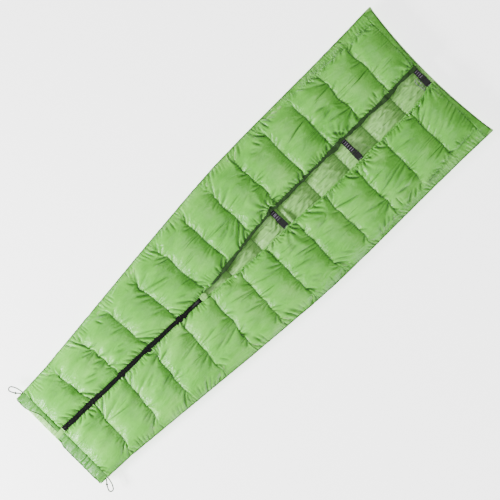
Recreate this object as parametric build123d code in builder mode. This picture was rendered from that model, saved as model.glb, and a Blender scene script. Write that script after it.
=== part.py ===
from build123d import *
import math
import os

# Camp quilt, closed into a tube and laid flat: a full-width back layer on the ground, two side panels
# folded over it that meet at a zip from the foot to the shin, and two upper flaps held by three buckles.
# Millimetres. X is across, +Y towards the head, +Z up. The origin is on the ground, under the middle.

# ---- driving dimensions ----
length = 1900
foot_y = -length / 2
head_y = length / 2
hem_depth = 40                  # foot drawcord channel
seam_pitch = 142.2              # distance between two cross seams
first_seam_y = 780              # cross seam nearest the head
seam_count = 12
chamber_head_y = 912            # the down stops here, the head hem follows
chamber_foot_y = foot_y + hem_depth
head_sag = 22                   # the back's head edge curves in by this much
side_points = [(213.5, foot_y), (220, -797), (271, -268), (307, 310), (307, 640), (313, head_y)]

down_half = 16.0                # half the loft of one layer
skin = 0.6                      # fabric sheet
gap = 0.2                       # air between sheet and down
layer_half = down_half + gap + skin
layer_space = 0.8               # between the back's lining and the panels' lining
crown_half = 8                  # each chamber's arch is flat for this far each side of its middle
back_mid = layer_half
seam_z = back_mid + layer_half + layer_space / 2
panel_mid = seam_z + layer_space / 2 + layer_half
panel_top = panel_mid + layer_half
side_inset = 3

hem_width = 24                  # unfilled hem along the slit
hem_thick = 1.6
slit_start_y = -205             # the slit opens here, above the zip
left_slit = [(-4, slit_start_y), (-9, -162), (-30, 10), (-40, 110), (-47, 260), (-47, chamber_head_y)]
right_slit = [(4, slit_start_y), (8, -160), (34, 10), (38, 180), (50, 310), (54, 480), (54, chamber_head_y)]
binding_width = 9               # dark binding along the left edge of the slit
binding_thick = 2.4

fold_far = (300, 945)           # the flap's fold runs from the slit's start to this head corner
fold_roll = 25                  # the hinge line lies this far inside that fold, in the middle of the roll
fold_lift = 0.5                 # the hinge line lies this far above the panel
fold_gap = 0.4                  # each side of the hinge line

zip_foot = (-18, -903)
zip_top = (0, -226)
tape_half = 10
tape_thick = 0.8
coil_inner = 0.45
coil_width = 2.2
coil_height = 2.0

web_width = 20
web_thick = 1.6
buckle_z = 46.4
upper_strap_y = 539
lower_strap_y = 177
neck_strap_y = 900

os.makedirs("parts", exist_ok=True)


def save(part, label):
    part.label = label
    export_step(part, f"parts/{label}.step")


# ---- shared outlines ----
seam_ys = [first_seam_y - seam_pitch * i for i in reversed(range(seam_count))]
chamber_ys = [chamber_foot_y] + seam_ys + [chamber_head_y]
chambers = list(zip(chamber_ys[:-1], chamber_ys[1:]))


def side_x(y):
    """Half width of the quilt at y, by straight lines between the side points."""
    for (x0, y0), (x1, y1) in zip(side_points[:-1], side_points[1:]):
        if y <= y1:
            return x0 + (x1 - x0) * (y - y0) / (y1 - y0)
    return side_points[-1][0]


def side_outline(low_y, high_y, inset):
    inner = [(x, y) for x, y in side_points if low_y < y < high_y]
    return [(x - inset, y) for x, y in [(side_x(low_y), low_y), *inner, (side_x(high_y), high_y)]]


side_run = side_outline(chamber_foot_y, chamber_head_y, side_inset)
back_outline = side_run + [(-x, y) for x, y in reversed(side_run)]
zip_length = math.dist(zip_foot, zip_top)
zip_lean = math.degrees(math.atan2(zip_top[0] - zip_foot[0], zip_top[1] - zip_foot[1]))
zip_plane = Plane(
    origin=(*zip_foot, panel_mid),
    x_dir=(math.cos(math.radians(zip_lean)), -math.sin(math.radians(zip_lean)), 0),
    z_dir=(0, 0, 1),
)


def zip_edge_x(y, side):
    """X of a panel's edge beside the zip tape; side is -1 on the left and 1 on the right."""
    along = (y - zip_foot[1]) / (zip_top[1] - zip_foot[1])
    return zip_foot[0] + along * (zip_top[0] - zip_foot[0]) + side * (tape_half + 0.3)


def panel_outline(slit, side):
    zip_run = [(zip_edge_x(y, side), y) for y in (chamber_foot_y, zip_top[1])]
    slit_run = [(x + side * hem_width, y) for x, y in slit]
    outer = [(side * x, y) for x, y in reversed(side_run)]
    return zip_run + slit_run + outer


def fold_plane(side, shift):
    """Upright plane along a flap's hinge line, its normal towards the flap, moved by shift along it."""
    start = Vector(side * 4, slit_start_y, 0)
    along = (Vector(side * fold_far[0], fold_far[1], 0) - start).normalized()
    across = Vector(along.Y, -along.X, 0) * -side
    return Plane(origin=start + across * (fold_roll + shift), x_dir=along, z_dir=across)


# ---- padded layers: shell, lining and down of each panel ----
def arch(a, b, root, crown):
    """One chamber's outline: an arc up to a flat crown, and down again. Returns both of its ends."""
    middle = (a + b) / 2
    rise = TangentArc((middle - crown_half, crown), (a, root), tangent=(-1, 0))
    Line((middle - crown_half, crown), (middle + crown_half, crown))
    fall = TangentArc((middle + crown_half, crown), (b, root), tangent=(1, 0))
    return rise @ 1, fall @ 1


def wave_face(offset_in, offset_out, mid, sign):
    """Closed outline of one quilted sheet: an arch over each chamber, inside and outside."""
    for offset in (offset_in, offset_out):
        ends = [arch(a, b, mid + sign * offset, mid + sign * (down_half + offset)) for a, b in chambers]
        if offset == offset_in:
            inner = ends
    Line(inner[0][0], ends[0][0])
    Line(inner[-1][1], ends[-1][1])


def quilted_sheet(label, outline, mid, sign, cut=None):
    with BuildPart() as sheet:
        with BuildSketch(Plane.YZ):
            with BuildLine():
                wave_face(gap, gap + skin, mid, sign)
            make_face()
        extrude(amount=length / 5, both=True)
        with BuildSketch(Plane.XY):
            with BuildLine():
                Polyline(*outline, close=True)
            make_face()
        extrude(amount=2 * panel_top, mode=Mode.INTERSECT)
        if cut:
            split(bisect_by=cut, keep=Keep.TOP)
    save(sheet.part, label)


def down_chambers(label, outline, mid, cut=None):
    seam_inset = 2
    with BuildPart() as down:
        for a, b in chambers:
            with BuildSketch(Plane.YZ):
                with BuildLine():
                    arch(a + seam_inset, b - seam_inset, mid, mid + down_half)
                    arch(a + seam_inset, b - seam_inset, mid, mid - down_half)
                make_face()
            extrude(amount=length / 5, both=True)
        with BuildSketch(Plane.XY):
            with BuildLine():
                Polyline(*outline, close=True)
            make_face()
        extrude(amount=2 * panel_top, mode=Mode.INTERSECT)
        if cut:
            split(bisect_by=cut, keep=Keep.TOP)
    save(down.part, label)


def padded_layer(name, outline, mid, outer_sign, cut=None):
    quilted_sheet(f"{name}_shell", outline, mid, outer_sign, cut)
    quilted_sheet(f"{name}_lining", outline, mid, -outer_sign, cut)
    down_chambers(f"{name}_down", outline, mid, cut)


padded_layer("back", back_outline, back_mid, -1)
sides = {"left": (-1, left_slit), "right": (1, right_slit)}
for side_name, (side, slit) in sides.items():
    flap_side = fold_plane(side, fold_gap)
    panel_side = fold_plane(side, -fold_gap)
    panel_side = Plane(origin=panel_side.origin, x_dir=panel_side.x_dir, z_dir=-panel_side.z_dir)
    padded_layer(f"{side_name}_panel", panel_outline(slit, side), panel_mid, 1, panel_side)
    padded_layer(f"{side_name}_flap", panel_outline(slit, side), panel_mid, 1, flap_side)


# ---- hems ----
def flat_strip(label, outline, mid, cut=None):
    with BuildPart() as strip:
        with BuildSketch(Plane.XY.offset(mid - hem_thick / 2)):
            with BuildLine():
                Polyline(*outline, close=True)
            make_face()
        extrude(amount=hem_thick)
        if cut:
            split(bisect_by=cut, keep=Keep.TOP)
    save(strip.part, label)


hem_gap = 0.3
for side_name, (side, slit) in sides.items():
    hem_outline = slit + [(x + side * (hem_width - hem_gap), y) for x, y in reversed(slit)]
    flap_side = fold_plane(side, fold_gap)
    panel_side = fold_plane(side, -fold_gap)
    panel_side = Plane(origin=panel_side.origin, x_dir=panel_side.x_dir, z_dir=-panel_side.z_dir)
    flat_strip(f"{side_name}_slit_hem_low", hem_outline, panel_mid, panel_side)
    flat_strip(f"{side_name}_slit_hem", hem_outline, panel_mid, flap_side)

# dark binding along the left edge, from just above the zip garage to the head
with BuildPart() as binding:
    with BuildSketch(Plane.XY.offset(panel_mid - binding_thick / 2)):
        bound = left_slit[1:]
        with BuildLine():
            Polyline(*[(x + hem_gap, y) for x, y in bound],
                     *[(x + binding_width, y) for x, y in reversed(bound)], close=True)
        make_face()
    extrude(amount=binding_thick)
    split(bisect_by=fold_plane(-1, fold_gap), keep=Keep.TOP)
save(binding.part, "left_slit_binding")

# head hems: the back's follows its curved head edge, each flap's ends at the slit
with BuildPart() as back_head_hem:
    with BuildSketch(Plane.XY.offset(back_mid - hem_thick / 2)):
        with BuildLine():
            head_left = Line((-side_x(chamber_head_y), chamber_head_y + hem_gap), (-side_x(head_y), head_y))
            head_curve = ThreePointArc(head_left @ 1, (0, head_y - head_sag), (side_x(head_y), head_y))
            Polyline(head_curve @ 1, (side_x(chamber_head_y), chamber_head_y + hem_gap), head_left @ 0)
        make_face()
    extrude(amount=hem_thick)
save(back_head_hem.part, "back_head_hem")

flap_head_y = 919
for side_name, (side, slit) in sides.items():
    slit_x = slit[-1][0]
    outline = [
        (slit_x, chamber_head_y + hem_gap),
        (slit_x, flap_head_y),
        (side * 150, flap_head_y + 11),
        (side * (side_x(head_y) - side_inset), head_y - side_inset),
        (side * (side_x(chamber_head_y) - side_inset), chamber_head_y + hem_gap),
    ]
    flat_strip(f"{side_name}_flap_head_hem", outline, panel_mid, fold_plane(side, fold_gap))

foot_corner = side_x(foot_y)
hem_top_y = chamber_foot_y - hem_gap
hem_corner = side_x(hem_top_y) - side_inset
back_foot_hem = [(-foot_corner, foot_y), (foot_corner, foot_y), (hem_corner, hem_top_y), (-hem_corner, hem_top_y)]
flat_strip("back_foot_hem", back_foot_hem, back_mid)
left_foot_hem = [(-foot_corner, foot_y + 2), (zip_foot[0] - tape_half, hem_top_y - 10),
                 (zip_foot[0] - tape_half, hem_top_y), (-hem_corner, hem_top_y)]
flat_strip("left_foot_hem", left_foot_hem, panel_mid)
right_foot_hem = [(foot_corner, foot_y + 2), (zip_foot[0] + tape_half + 12, foot_y + 6),
                  (zip_foot[0] + tape_half, hem_top_y), (hem_corner, hem_top_y)]
flat_strip("right_foot_hem", right_foot_hem, panel_mid)

# ---- side seams: a corded seam that joins the back to each panel ----
seam_cord_r = 0.35
for side_name, (side, _) in sides.items():
    with BuildPart() as side_seam:
        with BuildLine(Plane.XY.offset(seam_z)):
            seam_run = Polyline(*[(side * x, y) for x, y in side_outline(foot_y + 4, head_y - 4, 0)])
        with BuildSketch(Plane(origin=seam_run @ 0, z_dir=seam_run % 0)):
            Circle(4 * seam_cord_r)
        sweep(transition=Transition.RIGHT)
    save(side_seam.part, f"{side_name}_side_seam")

# ---- zip: tapes, coils, stops, slider and puller, in the zip's own plane ----
for side_name, (side, _) in sides.items():
    with BuildPart() as tape:
        with BuildSketch(zip_plane.offset(-tape_thick / 2)):
            with Locations((side * (coil_inner + tape_half) / 2, zip_length / 2)):
                Rectangle(tape_half - coil_inner, zip_length)
        extrude(amount=tape_thick)
    save(tape.part, f"{side_name}_zip_tape")

    coil_bottom = tape_thick / 2 + 0.05
    with BuildPart() as coil:
        with BuildSketch(zip_plane.offset(coil_bottom)):
            with Locations((side * (coil_inner + coil_width / 2), zip_length / 2)):
                Rectangle(coil_width, zip_length - 16)
        extrude(amount=coil_height)
        round_edges = coil.edges().filter_by(Axis((0, 0, 0), tuple(zip_plane.y_dir))).group_by(Axis.Z)[-1]
        fillet(round_edges, 0.8)
    save(coil.part, f"{side_name}_zip_coil")

stop_size = (1.9, 3.0, 2.4)
with BuildPart() as top_stops:
    with BuildSketch(zip_plane.offset(coil_bottom)):
        with GridLocations(2 * (coil_inner + stop_size[0] / 2 + 0.4), 0, 2, 1):
            with Locations((0, zip_length - 5.8)):
                Rectangle(stop_size[0], stop_size[1])
    extrude(amount=stop_size[2])
save(top_stops.part, "zip_top_stops")

with BuildPart() as bottom_stop:
    with BuildSketch(zip_plane.offset(coil_bottom)):
        with Locations((0, 4.5)):
            Rectangle(2 * (coil_inner + coil_width), 5)
    extrude(amount=coil_height + 0.5)
    fillet(bottom_stop.edges().group_by(Axis.Z)[-1], 0.5)
save(bottom_stop.part, "zip_bottom_stop")

slider_length = 14
slider_half = 4.75
plate = 1.2
coil_top = coil_bottom + coil_height
slider_y = zip_length - 16 / 2 - slider_length / 2 - 1.5
slider_plane = Plane(
    origin=zip_plane.origin + zip_plane.y_dir * slider_y, x_dir=zip_plane.x_dir, z_dir=zip_plane.z_dir
)
top_plate_z = coil_top + 0.4
bottom_plate_z = -tape_thick / 2 - 0.9
pivot_z = top_plate_z + plate + 1.6
pivot_r = 0.8
with BuildPart() as slider:
    with BuildSketch(slider_plane.offset(top_plate_z)):
        RectangleRounded(2 * slider_half, slider_length, 2.2)
    extrude(amount=plate)
    with BuildSketch(slider_plane.offset(bottom_plate_z - plate)):
        RectangleRounded(2 * slider_half, slider_length, 2.2)
    extrude(amount=plate)
    with BuildSketch(slider_plane.offset(tape_thick / 2 + 0.35)):
        with GridLocations(2 * (slider_half - 0.7), 0, 2, 1):
            Rectangle(1.4, slider_length - 5)
    extrude(amount=top_plate_z - tape_thick / 2 - 0.35)
    with BuildSketch(slider_plane.offset(bottom_plate_z)):
        with Locations((0, slider_length / 2 - 2.2)):
            Rectangle(0.6, 2.4)
    extrude(amount=top_plate_z - bottom_plate_z)
    with BuildSketch(slider_plane.offset(top_plate_z + plate)):
        Rectangle(2.4, 6)
    extrude(amount=3.2)
    crown_edges = slider.edges().filter_by(Axis((0, 0, 0), tuple(zip_plane.x_dir))).group_by(Axis.Z)[-1]
    fillet(crown_edges, 1.4)
    pivot_plane = Plane(
        origin=slider_plane.origin + Vector(0, 0, pivot_z), x_dir=zip_plane.y_dir, z_dir=zip_plane.x_dir
    )
    with BuildSketch(pivot_plane):
        Circle(pivot_r + 0.1)
    extrude(amount=4, both=True, mode=Mode.SUBTRACT)
save(slider.part, "zip_slider")

puller_length = 24
arm_gap = 1.5
arm_half = 2.7
with BuildPart() as puller:
    with BuildSketch(pivot_plane):
        Circle(pivot_r)
    extrude(amount=arm_half, both=True)
    with BuildSketch(slider_plane.offset(pivot_z - 0.7)):
        with Locations((0, -puller_length / 2)):
            RectangleRounded(2 * arm_half, puller_length + 1.6, 0.75)
        with Locations((0, -1.5)):
            Rectangle(2 * arm_gap, 6.4, mode=Mode.SUBTRACT)
        with Locations((0, -puller_length + 3.2)):
            Circle(1.4, mode=Mode.SUBTRACT)
    extrude(amount=1.4)
    with BuildSketch(pivot_plane):
        Circle(pivot_r)
    extrude(amount=arm_half, both=True)
save(puller.part, "zip_puller")

# fabric garage that covers the top end of the zip
garage_size = (23, 28)
with BuildPart() as garage:
    with BuildSketch(zip_plane.offset(tape_thick / 2 + 4.4)):
        with Locations((1, zip_length + 15.5)):
            RectangleRounded(garage_size[0], garage_size[1], 7)
    extrude(amount=3)
    fillet(garage.edges().group_by(Axis.Z)[-1], 1.2)
save(garage.part, "zip_garage")


# ---- side-release buckles: socket on the right flap, plug on its strap ----
body_half = 12.5
body_thick = 7.5
socket_length = 22.0
tail_length = 8.0
prong_length = 17.0
slot_half = web_width / 2 + 0.4
slot_width = 3.2
plug_tail = 10.0
buckle_corner = 2.0
wall = 2.6
cavity_half = body_half - wall


def buckle_plane(mouth_x, strap_y):
    return Plane(origin=(mouth_x, strap_y, buckle_z), x_dir=(1, 0, 0), z_dir=(0, 0, 1))


def buckle_socket(label, plane):
    cavity_high = 4.9
    with BuildPart() as socket:
        with BuildSketch(plane.offset(-body_thick / 2)):
            with Locations((socket_length / 2, 0)):
                RectangleRounded(socket_length, 2 * body_half, buckle_corner)
        extrude(amount=body_thick)
        fillet(socket.edges().group_by(Axis.Z)[-1] + socket.edges().group_by(Axis.Z)[0], 1.1)
        with BuildSketch(plane.offset(-body_thick / 2 + 1.6)):
            with Locations((socket_length + tail_length / 2 - 1, 0)):
                Rectangle(tail_length + 2, 2 * body_half - 2)
            with Locations((socket_length + tail_length - 4.2, 0)):
                Rectangle(slot_width, 2 * slot_half, mode=Mode.SUBTRACT)
        extrude(amount=body_thick - 3.2)
        # cavity for the prongs, open at the mouth
        with BuildSketch(plane.offset(-cavity_high / 2)):
            with Locations(((socket_length - wall) / 2 - 1, 0)):
                Rectangle(socket_length - wall + 2, 2 * cavity_half)
        extrude(amount=cavity_high, mode=Mode.SUBTRACT)
        # side windows, where the prong heads are pressed
        with BuildSketch(plane.offset(-cavity_high / 2)):
            with Locations((13, 0)):
                Rectangle(10, 2 * body_half + 2)
        extrude(amount=cavity_high, mode=Mode.SUBTRACT)
        # finger ridges on the top face
        with BuildSketch(plane.offset(body_thick / 2)):
            with GridLocations(3.2, 0, 3, 1):
                with Locations((9, 0)):
                    SlotOverall(14, 1.1, rotation=90)
        extrude(amount=-0.6, mode=Mode.SUBTRACT)
    save(socket.part, label)


def buckle_plug(label, plane):
    mouth_gap = 0.3
    base = 6.0
    prong_high = 4.2
    with BuildPart() as plug:
        with BuildSketch(plane.offset(-body_thick / 2)):
            with Locations((-mouth_gap - base / 2, 0)):
                RectangleRounded(base, 2 * body_half, 1.6)
        extrude(amount=body_thick)
        fillet(plug.edges().group_by(Axis.Z)[-1] + plug.edges().group_by(Axis.Z)[0], 1.0)
        with BuildSketch(plane.offset(-body_thick / 2 + 1.6)):
            with Locations((-base - plug_tail / 2 + 0.5, 0)):
                Rectangle(plug_tail + 1, 2 * body_half - 2)
            with Locations((-base - plug_tail + 4.4, 0)):
                Rectangle(slot_width, 2 * slot_half, mode=Mode.SUBTRACT)
        extrude(amount=body_thick - 3.2)
        # two sprung prongs and the centre guide
        with BuildSketch(plane.offset(-prong_high / 2)):
            for hand in (-1, 1):
                with BuildLine():
                    Polyline(
                        (-1, hand * (cavity_half - 3.0)), (prong_length - 4, hand * (cavity_half - 3.4)),
                        (prong_length, hand * (cavity_half - 2.4)),
                        (prong_length - 1.5, hand * (cavity_half - 0.3)),
                        (prong_length - 6, hand * (cavity_half - 0.3)),
                        (prong_length - 6.5, hand * (cavity_half - 1.2)),
                        (-1, hand * (cavity_half - 0.6)), close=True,
                    )
                make_face()
            with Locations((prong_length / 2 - 2.5, 0)):
                Rectangle(prong_length - 3, 2.6)
        extrude(amount=prong_high)
    save(plug.part, label)


def webbing(label, start_x, end_x, bar_x, strap_y, end_side):
    """Flat webbing from start_x that loops round a tail bar near end_x and ends sewn to itself."""
    layer = web_thick
    loop = 1.9
    fold_back = 14 * end_side
    with BuildPart() as strap:
        with BuildSketch(Plane(origin=(0, strap_y, 0), x_dir=(1, 0, 0), z_dir=(0, -1, 0))):
            with BuildLine():
                low = buckle_z - 2.15 - layer
                high = buckle_z + 2.15
                Polyline(
                    (start_x, low), (end_x, low), (end_x, high + layer), (bar_x - fold_back, high + layer),
                    (bar_x - fold_back, high), (end_x - layer * end_side, high),
                    (end_x - layer * end_side, low + layer), (start_x, low + layer), close=True,
                )
            make_face()
        extrude(amount=web_width / 2, both=True)
    save(strap.part, label)


buckles = {
    "upper": (22.0, upper_strap_y, -47, 54),
    "lower": (6.0, lower_strap_y, -43, 38),
    "neck": (8.0, neck_strap_y, -47, 54),
}
for buckle_name, (mouth_x, strap_y, left_edge, right_edge) in buckles.items():
    plane = buckle_plane(mouth_x, strap_y)
    buckle_socket(f"{buckle_name}_buckle_socket", plane)
    buckle_plug(f"{buckle_name}_buckle_plug", plane)
    plug_bar_x = mouth_x - 6 - plug_tail + 2.8
    webbing(f"{buckle_name}_strap_webbing", left_edge - 22, plug_bar_x + 2.9, plug_bar_x - 3.6, strap_y, 1)
    socket_bar_x = mouth_x + socket_length + tail_length - 2.6
    webbing(f"{buckle_name}_socket_tab", right_edge + 20, socket_bar_x - 3.0, socket_bar_x + 2.5, strap_y, -1)


# ---- cords: a loop at each foot corner, and the stretch cord with its toggle under the neck buckle ----
def cord_loop(label, points, radius, knot=None, knot_radius=3.2):
    with BuildPart() as cord:
        with BuildLine():
            run = Spline(*points)
        with BuildSketch(Plane(origin=run @ 0, z_dir=run % 0)):
            Circle(radius)
        sweep(path=run)
        if knot:
            with Locations(knot):
                Sphere(knot_radius)
    save(cord.part, label)


loop_root = side_x(foot_y) + 3.5
loop_run = [(0, -914), (15, -916), (31, -921), (46, -932), (40, -945), (22, -939), (9, -929), (0, -921)]
for side_name, (side, _) in sides.items():
    placed = [(side * (loop_root + x), y, seam_z) for x, y in loop_run]
    cord_loop(f"{side_name}_foot_loop", placed, 1.8, (side * (loop_root + 15), -934, seam_z), 3.8)

toggle_x = 42
toggle_y = 877
strand = 2.2                    # half the distance between the two cord strands
cord_radius = 1.2
with BuildPart() as toggle:
    with BuildSketch(Plane.XY.offset(buckle_z - 3.5)):
        with Locations((toggle_x, toggle_y)):
            RectangleRounded(9, 11, 3)
    extrude(amount=7)
    fillet(toggle.edges().group_by(Axis.Z)[-1] + toggle.edges().group_by(Axis.Z)[0], 1.2)
    with BuildSketch(Plane.YZ.offset(toggle_x - 6)):
        with Locations((toggle_y, buckle_z)):
            SlotOverall(8, 3.2)
    extrude(amount=12, mode=Mode.SUBTRACT)
save(toggle.part, "neck_cord_toggle")

cord_root = 64
near_run = [(cord_root, -strand), (toggle_x, -strand), (22, -4.4), (8, -6.6), (-4, -7.0), (-11, -4.6)]
neck_run = near_run + [(x, -y) for x, y in reversed(near_run)]
cord_loop("neck_cord", [(x, toggle_y + y, buckle_z) for x, y in neck_run], cord_radius)
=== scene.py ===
import math
import bmesh
import bpy
import numpy as np
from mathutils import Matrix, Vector


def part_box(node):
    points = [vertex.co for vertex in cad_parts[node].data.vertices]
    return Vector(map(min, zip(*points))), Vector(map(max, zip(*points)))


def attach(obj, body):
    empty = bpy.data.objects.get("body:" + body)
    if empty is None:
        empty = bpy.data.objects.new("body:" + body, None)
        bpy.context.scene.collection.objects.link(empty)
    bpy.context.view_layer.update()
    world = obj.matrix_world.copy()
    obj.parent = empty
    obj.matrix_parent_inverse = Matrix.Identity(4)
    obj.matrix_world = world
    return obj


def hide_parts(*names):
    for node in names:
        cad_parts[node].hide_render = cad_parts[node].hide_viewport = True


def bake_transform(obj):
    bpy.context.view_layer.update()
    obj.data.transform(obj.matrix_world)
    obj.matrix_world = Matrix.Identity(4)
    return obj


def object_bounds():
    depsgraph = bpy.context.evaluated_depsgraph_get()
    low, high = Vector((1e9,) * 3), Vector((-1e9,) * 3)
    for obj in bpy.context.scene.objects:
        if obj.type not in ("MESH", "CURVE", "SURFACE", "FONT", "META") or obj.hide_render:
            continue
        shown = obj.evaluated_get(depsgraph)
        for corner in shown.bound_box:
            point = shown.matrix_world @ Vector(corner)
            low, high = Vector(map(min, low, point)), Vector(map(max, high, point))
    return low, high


# A camp quilt laid flat: a full-width back, and two side panels that meet at a zip and open above it
# into flaps held by three buckles. Metres; +Y is towards the head.

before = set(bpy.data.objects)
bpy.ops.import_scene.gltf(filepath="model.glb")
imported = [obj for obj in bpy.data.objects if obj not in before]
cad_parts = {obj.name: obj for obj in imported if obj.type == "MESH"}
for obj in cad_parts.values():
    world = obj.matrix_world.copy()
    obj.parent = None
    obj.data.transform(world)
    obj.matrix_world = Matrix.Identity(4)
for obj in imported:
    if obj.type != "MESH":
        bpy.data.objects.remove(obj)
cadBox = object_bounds()
print("frame loaded")

scene = bpy.context.scene
sides = ((-1, "left"), (1, "right"))

backLow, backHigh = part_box("back_down")
panelLow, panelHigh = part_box("left_panel_down")
wholeHigh = cadBox[1]

quilt = {
    "foot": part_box("back_foot_hem")[0].y,
    "head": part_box("back_head_hem")[1].y,
    "chamberFoot": backLow.y - 0.002,
    "chamberHead": backHigh.y + 0.002,
    "firstSeam": 0.780,  # cross seam nearest the head
    "pitch": 0.1422,
    "seams": 12,
    "backMid": (backLow.z + backHigh.z) / 2,
    "panelMid": (panelLow.z + panelHigh.z) / 2,
    "loft": (panelHigh.z - panelLow.z) / 2,
    "outlineY": (-0.950, -0.797, -0.500, -0.230, 0.020, 0.140, 0.310, 0.640, 0.800, 0.950),
    "outlineX": (0.2135, 0.2200, 0.2480, 0.2740, 0.2950, 0.3030, 0.3065, 0.3070, 0.3090, 0.3130),
    "headSag": 0.022,  # the back's head edge curves in by this much
    "chevron": 0.024,  # the lower seams climb this much from the side to the zip
    "rowsPerChamber": 42,
    "acrossCells": 94,
}
quilt["sideZ"] = (quilt["backMid"] + quilt["panelMid"]) / 2
seamYs = [quilt["chamberFoot"]]
seamYs += [quilt["firstSeam"] - quilt["pitch"] * i for i in reversed(range(quilt["seams"]))]
seamYs += [quilt["chamberHead"]]


# camera and lights
# a rectangular lamp at place, turned so that it shines on target
def areaLight(name, place, target, size, watts):
    light = bpy.data.lights.new(name, "AREA")
    light.shape = "RECTANGLE"
    light.size, light.size_y = size
    light.energy = watts
    holder = bpy.data.objects.new(name, light)
    holder.location = place
    holder.rotation_euler = (Vector(target) - Vector(place)).to_track_quat("-Z", "Y").to_euler()
    scene.collection.objects.link(holder)


studio = {
    "viewWidth": 1.7975,  # width of ground that the camera sees
    "distance": 9.0,
    "lookAt": (0.0, 0.0256),
    "turn": 45.0,
    "sensor": 36.0,
    "skyStrength": 0.32,
    "lamps": {  # each lamp's place, target, size and watts
        "keyFromFoot": ((-0.9, -3.2, 1.5), (0, -0.1, 0), (1.2, 0.6), 330),
        "sideRim": ((3.0, 0.4, 1.1), (0, 0.2, 0), (1.0, 1.8), 40),
        "overhead": ((0, 0.6, 3.6), (0, 0, 0), (2.4, 2.4), 52),
    },
    "floorHalf": 4.0,
    "floorGlow": 2.6,
}
camData = bpy.data.cameras.new("studioCamera")
camData.sensor_width = studio["sensor"]
camData.lens = studio["sensor"] * studio["distance"] / studio["viewWidth"]
camera = bpy.data.objects.new("studioCamera", camData)
camera.location = (*studio["lookAt"], studio["distance"] + quilt["sideZ"])
camera.rotation_euler = (0, 0, math.radians(studio["turn"]))
scene.collection.objects.link(camera)
scene.camera = camera

for name, lamp in studio["lamps"].items():
    areaLight(name, *lamp)
world = bpy.data.worlds.new("studioWorld")
world.use_nodes = True
world.node_tree.nodes["Background"].inputs["Color"].default_value = (1, 1, 1, 1)
world.node_tree.nodes["Background"].inputs["Strength"].default_value = studio["skyStrength"]
scene.world = world
print("camera and lights placed")


# shader nodes
# wraps a socket, so that an expression on it adds Math nodes
class Sock:
    def __init__(self, tree, out):
        self.tree = tree
        self.out = out

    def math(self, operation, *values):
        node = self.tree.nodes.new("ShaderNodeMath")
        node.operation = operation
        for i, value in enumerate(values):
            plug(self.tree, node.inputs[i], value)
        return Sock(self.tree, node.outputs[0])

    def __add__(self, other): return self.math("ADD", self, other)
    def __radd__(self, other): return self.math("ADD", other, self)
    def __sub__(self, other): return self.math("SUBTRACT", self, other)
    def __rsub__(self, other): return self.math("SUBTRACT", other, self)
    def __mul__(self, other): return self.math("MULTIPLY", self, other)
    def __rmul__(self, other): return self.math("MULTIPLY", other, self)
    def __gt__(self, other): return self.math("GREATER_THAN", self, other)
    def __lt__(self, other): return self.math("LESS_THAN", self, other)
    def __abs__(self): return self.math("ABSOLUTE", self)


# links a socket to a Sock, or sets its value
def plug(tree, socket, value):
    if isinstance(value, Sock):
        tree.links.new(value.out, socket)
    else:
        socket.default_value = value


# one material: constants go on the shader's own sockets, add makes any node, set links the finished values
class Finish:
    def __init__(self, name, **constants):
        self.material = bpy.data.materials.new(name)
        self.material.use_nodes = True
        self.tree = self.material.node_tree
        self.shader = self.tree.nodes["Principled BSDF"]
        for socket, value in constants.items():
            self.shader.inputs[socket.replace("_", " ")].default_value = value

    def add(self, kind, settings=None, out=0, **inputs):
        node = self.tree.nodes.new("ShaderNode" + kind)
        for key, value in (settings or {}).items():
            if key == "stops":
                ramp = node.color_ramp
                while len(ramp.elements) < len(value):
                    ramp.elements.new(1)
                for element, (place, colour) in zip(ramp.elements, value):
                    element.position = place
                    element.color = colour
            else:
                setattr(node, key, value)
        for key, value in inputs.items():
            name = key.replace("_", " ")
            byNumber = name[0] == "i" and name[1:].isdigit()
            plug(self.tree, node.inputs[int(name[1:]) if byNumber else name], value)
        return Sock(self.tree, node.outputs[out])

    def coords(self, scale=(1, 1, 1), turn=0.0):
        place = self.add("TexCoord", out=3)
        return self.add("Mapping", Vector=place, Scale=scale, Rotation=(0, 0, turn))

    def uv(self, name):
        return self.add("UVMap", {"uv_map": name})

    def split(self, vector):
        node = self.tree.nodes.new("ShaderNodeSeparateXYZ")
        plug(self.tree, node.inputs[0], vector)
        return [Sock(self.tree, node.outputs[i]) for i in range(3)]

    def noise(self, vector, scale, detail=3.0, roughness=0.5):
        return self.add("TexNoise", Vector=vector, Scale=scale, Detail=detail, Roughness=roughness)

    # squeezed noise: narrow lumps that run along the turned axes and read as folds
    def folds(self, squeeze, turn, scale, wind):
        return self.add("TexNoise", Vector=self.coords(squeeze, turn), Scale=scale, Detail=2.0, Roughness=0.5,
                        Distortion=wind)

    # crossed threads: the product of two wave patterns at right angles
    def threads(self, place, scale):
        x, y = (self.add("TexWave", {"bands_direction": way}, out=1, Vector=place, Scale=scale)
                for way in "XY")
        return x * y

    def fract(self, value):
        return self.add("Math", {"operation": "FRACT"}, i0=value)

    def mix(self, factor, first, second):
        return self.add("Mix", {"data_type": "RGBA"}, out=2, i0=factor, i6=first, i7=second)

    def bump(self, height, distance, strength=1.0, under=None):
        inputs = {"Height": height, "Distance": distance, "Strength": strength}
        if under:
            inputs["Normal"] = under
        return self.add("Bump", **inputs)

    def set(self, **links):
        for key, value in links.items():
            plug(self.tree, self.shader.inputs[key.replace("_", " ")], value)
        return self.material


# linear colour of a 0-255 display colour: ((c + 0.055) / 1.055) to the power 2.4, or c / 12.92 in the darks
def shade(*display):
    linear = [((c / 255 + 0.055) / 1.055) ** 2.4 if c > 10 else c / 255 / 12.92 for c in display]
    return (*linear, 1.0)


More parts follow.
